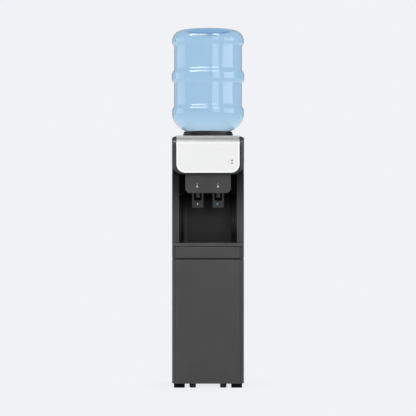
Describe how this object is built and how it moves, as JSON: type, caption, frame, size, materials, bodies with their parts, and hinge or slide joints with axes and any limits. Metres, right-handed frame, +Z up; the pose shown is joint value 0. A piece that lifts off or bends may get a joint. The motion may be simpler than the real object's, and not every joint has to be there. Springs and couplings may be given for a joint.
{
  "type": "bottled water cooler",
  "caption": "Slim free-standing water cooler with an inverted blue bottle, push-back taps in a recess, a drip tray and a rear condenser.",
  "frame": {"origin": "on the floor, at the middle of the footprint from fascia to condenser", "axes": "+Z up, -Y out of the front towards the user, +X to the right seen from the front"},
  "size_m": [0.2729, 0.31, 1.334],
  "materials": {
    "cabinet_paint": "satin charcoal powder coat",
    "rear_steel": "satin dark grey coat",
    "galvanised_steel": "galvanised sheet",
    "black_plastic": "fine-grained black",
    "tap_panel_plastic": "satin charcoal",
    "grille_plastic": "dark grey",
    "fascia_plastic": "pale silver, satin",
    "foot_rubber": "black",
    "foot_plastic": "dark grey",
    "bottle_plastic": "clear pale blue",
    "cap_plastic": "mid blue",
    "white_plastic": "white",
    "foam": "white foam",
    "stainless_steel": "brushed",
    "copper": "bare copper",
    "hose_silicone": "milky silicone",
    "tap_plastic": "black",
    "paddle_plastic": "dark grey",
    "drain_plastic": "black",
    "compressor_paint": "black enamel",
    "zinc_steel": "zinc plated",
    "relay_plastic": "cream",
    "condenser_paint": "black coat",
    "switch_plastic": "red",
    "board_laminate": "green laminate",
    "red_lens": "red",
    "green_lens": "green"
  },
  "bodies": {
    "cooler": {"base_plate": "galvanised_steel", "foot_pads": "foot_rubber", "left_lower_side": "cabinet_paint", "right_lower_side": "cabinet_paint", "lower_front_panel": "cabinet_paint", "lower_rear_panel": "rear_steel", "mid_frame": "rear_steel", "left_upper_side": "cabinet_paint", "right_upper_side": "cabinet_paint", "upper_rear_panel": "rear_steel", "mid_front_panel": "cabinet_paint", "recess_liner": "black_plastic", "tank_shelf": "galvanised_steel", "head_shell": "black_plastic", "top_cover": "black_plastic", "fascia": "fascia_plastic", "tap_panel": "tap_panel_plastic", "bottle_collar": "black_plastic", "feed_probe": "white_plastic", "reservoir": "stainless_steel", "reservoir_lid": "white_plastic", "baffle": "white_plastic", "tank_insulation": "foam", "evaporator": "copper", "water_hoses": "hose_silicone", "drain_spout": "white_plastic", "left_tap_body": "tap_plastic", "right_tap_body": "tap_plastic", "tap_bonnets": "tap_plastic", "left_valve_spring": "stainless_steel", "right_valve_spring": "stainless_steel", "paddle_pins": "stainless_steel", "tap_nuts": "white_plastic", "compressor": "compressor_paint", "compressor_grommets": "foot_rubber", "compressor_bolts": "zinc_steel", "start_relay": "relay_plastic", "condenser": "condenser_paint", "condenser_brackets": "drain_plastic", "filter_drier": "copper", "refrigerant_lines": "copper", "thermostat": "white_plastic", "power_inlet": "drain_plastic", "indicator_board": "board_laminate", "power_lens": "red_lens", "cooling_lens": "green_lens", "panel_screws": "zinc_steel"},
    "left_foot": {"left_levelling_foot": "foot_plastic"},
    "right_foot": {"right_levelling_foot": "foot_plastic"},
    "left_lever": {"left_paddle": "paddle_plastic"},
    "right_lever": {"right_paddle": "paddle_plastic"},
    "left_valve": {"left_valve_stem": "hose_silicone"},
    "right_valve": {"right_valve_stem": "hose_silicone"},
    "tray": {"drip_tray": "tap_panel_plastic"},
    "grille": {"drip_grille": "grille_plastic"},
    "water_bottle": {"bottle": "bottle_plastic", "bottle_cap": "cap_plastic"},
    "switch": {"power_switch": "switch_plastic"},
    "knob": {"thermostat_knob": "drain_plastic"},
    "drain_plug": {"drain_cap": "drain_plastic"}
  },
  "joints": [
    {"name": "left_paddle_push", "type": "hinge", "parent": "cooler", "child": "left_lever", "pos_m": [-0.038, -0.13, 0.748], "axis": [1, 0, 0], "range_deg": [0, 12], "stiffness_Nm_per_rad": 1.5, "springref_deg": -6.88},
    {"name": "left_valve_lift", "type": "slide", "parent": "cooler", "child": "left_valve", "axis": [0, 0, 1], "range_m": [0, 0.0048], "deforming": ["left_valve_spring"]},
    {"name": "right_paddle_push", "type": "hinge", "parent": "cooler", "child": "right_lever", "pos_m": [0.038, -0.13, 0.748], "axis": [1, 0, 0], "range_deg": [0, 12], "stiffness_Nm_per_rad": 1.5, "springref_deg": -6.88},
    {"name": "right_valve_lift", "type": "slide", "parent": "cooler", "child": "right_valve", "axis": [0, 0, 1], "range_m": [0, 0.0048], "deforming": ["right_valve_spring"]},
    {"name": "drip_tray_pull", "type": "slide", "parent": "cooler", "child": "tray", "axis": [0, -1, 0], "range_m": [0, 0.1]},
    {"name": "grille_lift", "type": "slide", "parent": "tray", "child": "grille", "axis": [0, 0, 1], "range_m": [0, 0.03]},
    {"name": "bottle_lift", "type": "slide", "parent": "cooler", "child": "water_bottle", "axis": [0, 0, 1], "range_m": [0, 0.15]},
    {"name": "left_foot_screw", "type": "slide", "parent": "cooler", "child": "left_foot", "axis": [0, 0, -1], "range_m": [0, 0.008]},
    {"name": "right_foot_screw", "type": "slide", "parent": "cooler", "child": "right_foot", "axis": [0, 0, -1], "range_m": [0, 0.008]},
    {"name": "power_rocker", "type": "hinge", "parent": "cooler", "child": "switch", "pos_m": [-0.082, 0.12696, 0.077], "axis": [1, 0, 0], "range_deg": [0, 14]},
    {"name": "thermostat_turn", "type": "hinge", "parent": "cooler", "child": "knob", "pos_m": [0.07, 0.12696, 0.761], "axis": [0, 1, 0], "range_deg": [0, 270]},
    {"name": "drain_cap_pull", "type": "slide", "parent": "cooler", "child": "drain_plug", "axis": [0, 1, 0], "range_m": [0, 0.02]}
  ],
  "couplings": [
    {"joint": "left_valve_lift", "follows": "left_paddle_push", "m_per_rad": 0.0225},
    {"joint": "right_valve_lift", "follows": "right_paddle_push", "m_per_rad": 0.0225}
  ]
}
